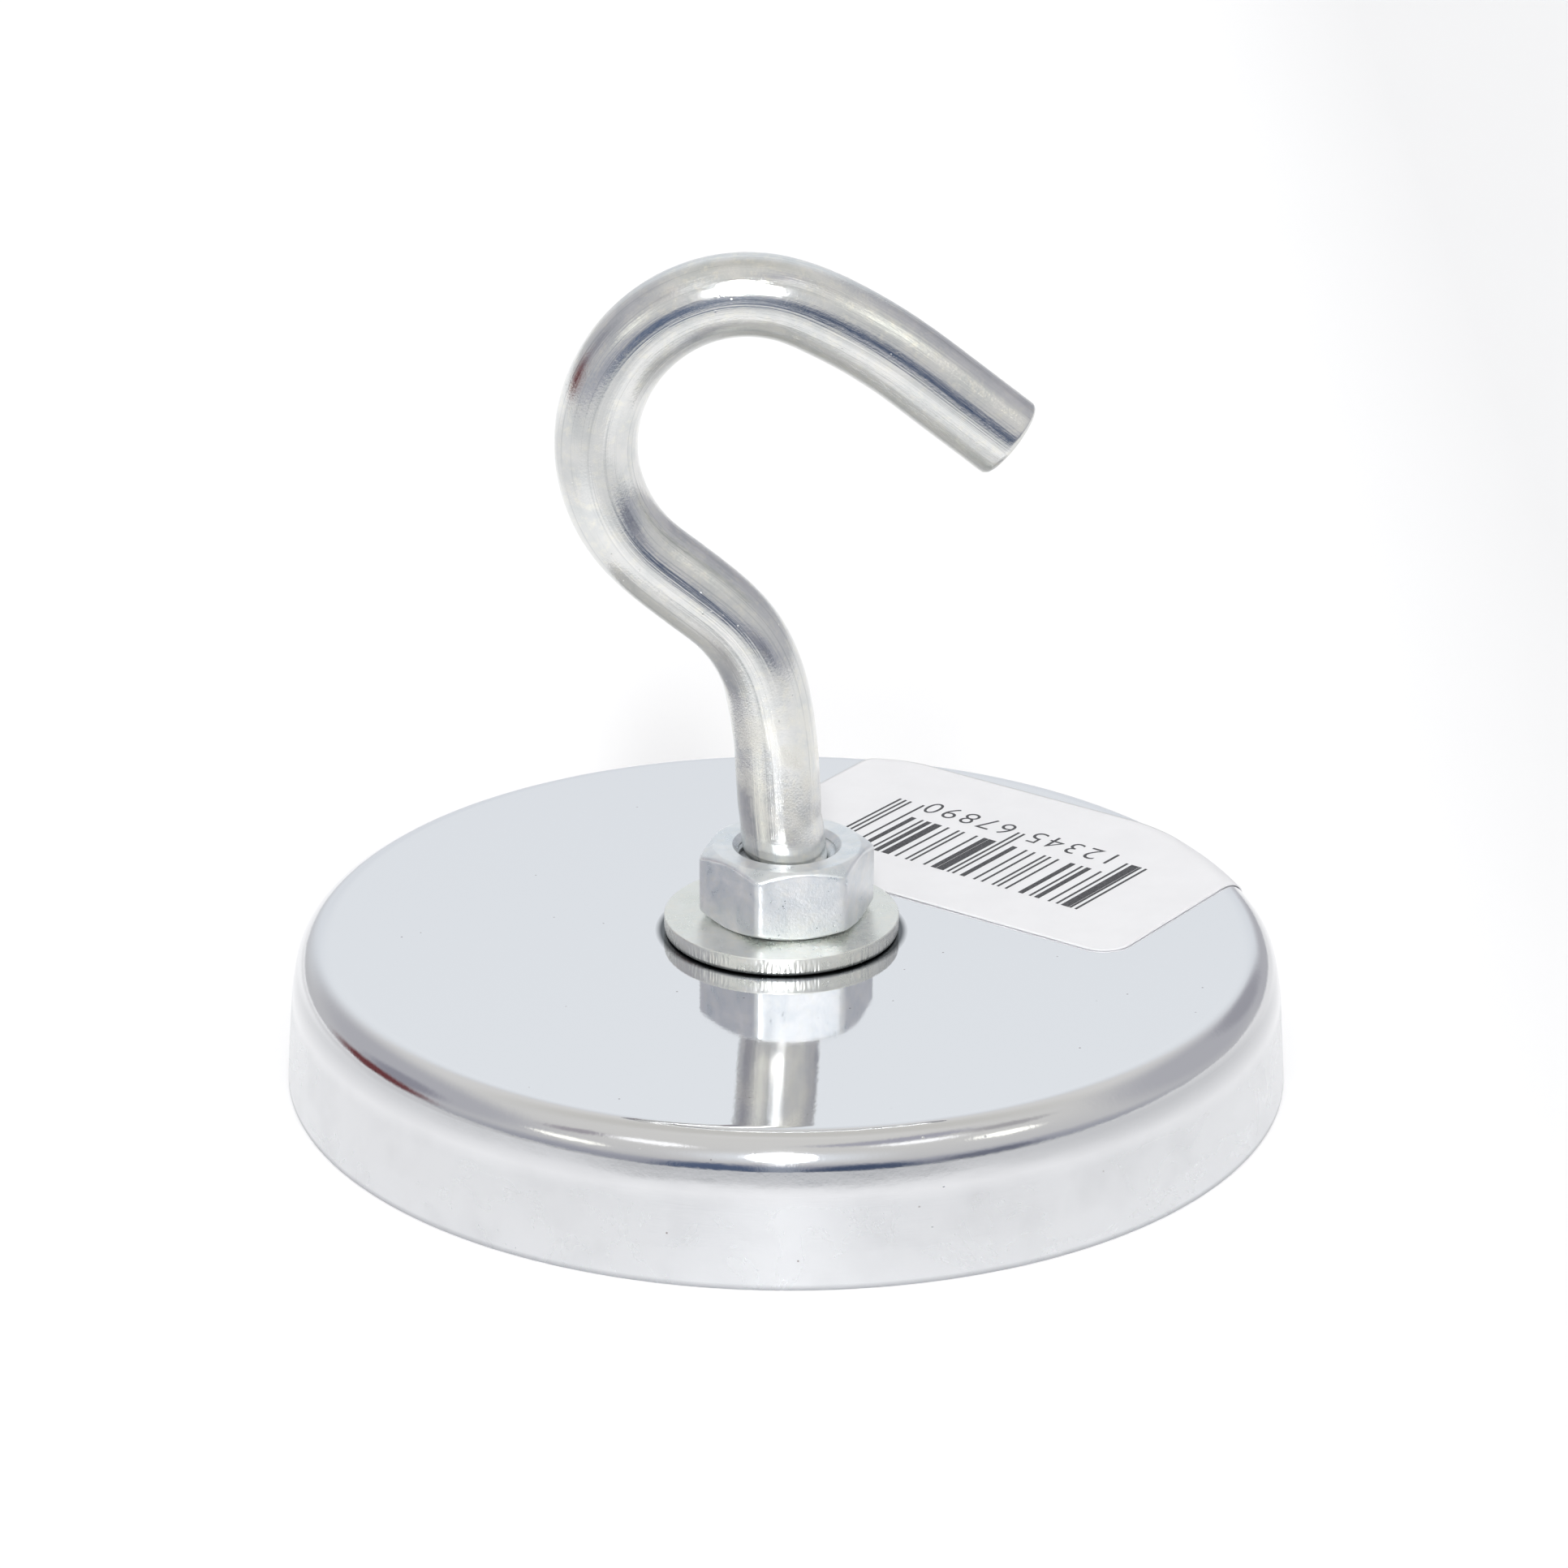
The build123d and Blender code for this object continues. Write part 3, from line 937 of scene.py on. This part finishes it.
def make_bars(material):
    points, faces = [], []
    shrink = 0.015
    steps = 8
    for first, width, is_long in bar_pattern():
        left = along_row(first) + shrink
        right = along_row(first + width) - shrink
        length = LONG_BAR_LENGTH if is_long else BAR_LENGTH
        for k in range(steps):
            low, high = length * k / steps, length * (k + 1) / steps
            start = len(points)
            points += [print_point(left, low), print_point(right, low)]
            points += [print_point(right, high), print_point(left, high)]
            faces.append((start, start + 1, start + 2, start + 3))
    return make_piece("label_bars", points, faces, "magnet_base", (), material)


def glyph(character):
    """Points and faces of one character, from 0 to 1 high and about the middle of its width."""
    curve = bpy.data.curves.new("glyph", "FONT")
    curve.body = character
    curve.offset = -0.008
    draft = bpy.data.objects.new("glyph", curve)
    bpy.context.scene.collection.objects.link(draft)
    bpy.context.view_layer.update()
    mesh = bpy.data.meshes.new_from_object(draft.evaluated_get(bpy.context.evaluated_depsgraph_get()))
    bpy.data.objects.remove(draft)
    xs = [v.co.x for v in mesh.vertices]
    ys = [v.co.y for v in mesh.vertices]
    middle = (min(xs) + max(xs)) / 2
    low = min(ys)
    height = max(ys) - low
    points = [((x - middle) / height, (y - low) / height) for x, y in zip(xs, ys)]
    faces = [tuple(f.vertices) for f in mesh.polygons]
    bpy.data.meshes.remove(mesh)
    return points, faces


def make_digits(material):
    """Placeholder digits, counted up from one, under ten of the symbols, and read from behind the cup."""
    points, faces = [], []
    height = DIGITS_TO - DIGITS_FROM
    width = height * 0.92
    for count in range(10):
        symbol = 10 - count
        middle = along_row(symbol_start(symbol) + SYMBOL_MODULES / 2)
        outline, patches = glyph(str((count + 1) % 10))
        start = len(points)
        points += [print_point(middle - x * width, DIGITS_TO - y * height) for x, y in outline]
        faces += [tuple(start + i for i in patch) for patch in patches]
    return make_piece("label_digits", points, faces, "magnet_base", (), material)


# ---------------------------------------------------------------- the studio
class Sky(Nodes):
    """The studio round the object: a colour for every direction, as soft ovals laid over a plain tent."""

    def __init__(self):
        world = bpy.data.worlds.new("studio")
        bpy.context.scene.world = world
        world.use_nodes = True
        super().__init__(world.node_tree)
        x, y, z = self.parts(self.node("ShaderNodeTexCoord").outputs["Generated"])
        elevation = self.degrees("ARCSINE", z)
        self.front = self.pair(self.degrees("ARCTAN2", x, self.times(y, -1.0)), elevation)
        self.back = self.pair(self.degrees("ARCTAN2", self.times(x, -1.0), y), elevation)
        shade = self.node("ShaderNodeValToRGB")
        for element, colour in zip(shade.color_ramp.elements, ((0.60, 0.60, 0.62), (0.78, 0.77, 0.745))):
            element.color = (*colour, 1)
        self.link(z, shade.inputs["Fac"])
        self.colour = shade.outputs["Color"]

    def degrees(self, operation, *values):
        return self.calc("DEGREES", self.calc(operation, *values))

    def pair(self, azimuth, elevation):
        made = self.node("ShaderNodeCombineXYZ")
        self.link(azimuth, made.inputs["X"])
        self.link(elevation, made.inputs["Y"])
        return made.outputs["Vector"]

    def patch(self, azimuth, elevation, width, height, colour, strength=1.0, soft=0.4):
        """Lays an oval on top, in degrees from its middle to its edge. Azimuth 0 is in front, 90 is at +X."""
        behind = abs(azimuth) > 120
        if behind:
            azimuth = azimuth - math.copysign(180, azimuth)
        fit = self.node("ShaderNodeMapping")
        fit.inputs["Scale"].default_value = (1 / width, 1 / height, 1)
        fit.inputs["Location"].default_value = (-azimuth / width, -elevation / height, 0)
        self.link(self.back if behind else self.front, fit.inputs["Vector"])
        far = self.node("ShaderNodeVectorMath", operation="LENGTH")
        self.link(fit.outputs["Vector"], far.inputs[0])
        fade = self.ramp(far.outputs["Value"], 1 + soft, 1 - soft, smooth=True)
        self.colour = self.mix(fade, self.colour, tuple(c * strength for c in colour))

    def finish(self):
        background = self.tree.nodes["Background"]
        self.link(self.colour, background.inputs["Color"])
        background.inputs["Strength"].default_value = 1.0


def make_studio():
    """A pale floor in a pale tent, with a flash above the camera, small lamps and darker things in front."""
    mesh = bpy.data.meshes.new("floor")
    reach_m = 3.0
    front_m = -0.42
    corners = [(-reach_m, front_m, 0), (reach_m, front_m, 0), (reach_m, reach_m, 0), (-reach_m, reach_m, 0)]
    mesh.from_pydata(corners, [], [(0, 1, 2, 3)])
    mesh.materials.append(floor_paint())
    floor = bpy.data.objects.new("floor", mesh)
    bpy.context.scene.collection.objects.link(floor)

    pale_blue = (0.78, 0.81, 0.85)
    mauve = (0.52, 0.52, 0.555)
    dusk = (0.45, 0.46, 0.52)
    navy = (0.07, 0.10, 0.18)
    white = (1.0, 1.0, 1.0)
    warm = (1.0, 0.99, 0.90)
    sky = Sky()
    # Below the horizon, past the floor's front edge.
    sky.patch(0, -50, 400, 38, (0.80, 0.80, 0.81), 1.0, 0.05)
    # Behind the object, where the plate's mirror looks.
    sky.patch(180, 64, 50, 11, (0.64, 0.63, 0.60), 1.0, 0.6)
    sky.patch(180, 20, 34, 22, pale_blue)
    sky.patch(180, 29, 28, 8, (0.87, 0.90, 0.93), 1.0, 0.9)
    # Duller walls to the left and right.
    sky.patch(-104, 29, 42, 21, mauve)
    sky.patch(120, 27, 32, 23, mauve)
    sky.patch(150, 3, 16, 12, mauve)
    sky.patch(142, 22, 12, 10, (0.40, 0.40, 0.44))
    sky.patch(-99, 20, 12, 9, (0.33, 0.33, 0.38))
    # The dark room behind the camera, low down: it draws the lines along the rod and the shoulder.
    sky.patch(5, 3, 80, 12, dusk)
    sky.patch(0, -1, 27, 6, navy, 1.0, 0.5)
    sky.patch(-16, 4, 11, 11, (0.12, 0.16, 0.26))
    sky.patch(17, 2, 12, 11, (0.08, 0.11, 0.19))
    sky.patch(45, 3, 12, 7, (0.22, 0.23, 0.29))
    # Greyer parts high up, and one dark red thing on the left.
    sky.patch(55, 71, 42, 5.5, (0.45, 0.45, 0.51))
    sky.patch(83, 60, 13, 6, (0.47, 0.46, 0.47))
    sky.patch(-62, 50, 7, 7, (0.42, 0.40, 0.43))
    sky.patch(-103, 6, 17, 6, (0.17, 0.05, 0.055))
    # Small lamps on both sides of the camera.
    sky.patch(-52, 27, 8, 4, warm, 1.7)
    sky.patch(-42, 56, 12, 5, white, 1.4)
    sky.patch(60, 43, 8, 5, warm, 2.0)
    sky.patch(46, 61, 14, 4, white, 1.4)
    # The camera's stand, then the flash above it: a pale screen, a faint stem and the lamp itself.
    sky.patch(-1, 3, 4, 15, (0.40, 0.44, 0.52), 1.0, 0.5)
    sky.patch(-1, 37, 19, 12, (0.93, 0.96, 1.0), 1.0, 0.8)
    sky.patch(-1, 22, 1.4, 9, white, 2.0, 0.7)
    sky.patch(-1, 38, 4.5, 9, white, 52.0, 0.4)
    sky.finish()


def make_camera():
    """A long lens, 22 degrees above the horizon, aimed a little above a third of the hook's height."""
    camera = bpy.data.objects.new("camera", bpy.data.cameras.new("camera"))
    bpy.context.scene.collection.objects.link(camera)
    elevation = math.radians(22.27)
    roll = math.radians(0.22)
    distance = 451
    aim = Vector((-0.26, 0, 24.77))
    away = Vector((0, -math.cos(elevation), math.sin(elevation)))
    camera.location = (aim + away * distance) * MM
    camera.rotation_mode = "QUATERNION"
    camera.rotation_quaternion = away.to_track_quat("Z", "Y") @ Quaternion((0, 0, 1), roll)
    camera.data.sensor_width = 36
    camera.data.lens = 127.9
    camera.data.clip_start = 0.01
    bpy.context.scene.camera = camera


# ---------------------------------------------------------------- everything
make_camera()
make_studio()

hook_zinc = zinc(
    "hook_zinc", (0.69, 0.71, 0.71), (0.84, 0.835, 0.82), (0.03, 0.11), mottle=0.3, grit=0.012, rod=True
)
nut_zinc = zinc(
    "nut_zinc", (0.73, 0.78, 0.815), (0.955, 0.955, 0.95), (0.27, 0.42), mottle=0.4, flecks=0.35, dents=0.03,
    grit=0.022, metal=0.88
)
# The washer's lowest edge gets painted shade, as a dark contact line on the plate.
washer_zinc = zinc(
    "washer_zinc", (0.74, 0.76, 0.71), (0.86, 0.87, 0.84), (0.24, 0.38), mottle=0.28, metal=0.9,
    shade_below=WASHER_LOW.z + 0.2
)
under_zinc = zinc("under_zinc", (0.70, 0.72, 0.67), (0.82, 0.83, 0.80), (0.24, 0.38), mottle=0.28)
black_resin = resin()
black_ink = ink()

make_cup(cup_plate())
make_ring(ferrite())
make_rim_resin(black_resin)
make_centre_resin(black_resin)
make_nut("anchor_nut_mesh", "anchor_nut", ANCHOR_LOW.z, ANCHOR_HIGH.z, ANCHOR_TURN, nut_zinc)
make_nut("clamp_nut", "hex_nut", NUT_LOW.z, NUT_HIGH.z, NUT_TURN, nut_zinc)
make_washer(washer_zinc)
make_hook(hook_zinc)
make_label(paper())
make_bars(black_ink)
make_digits(black_ink)

for node, material in (("bond_layer", adhesive()), ("lower_washer", under_zinc)):
    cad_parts[node].data.materials.clear()
    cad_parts[node].data.materials.append(material)

bpy.context.scene.view_settings.view_transform = "Standard"
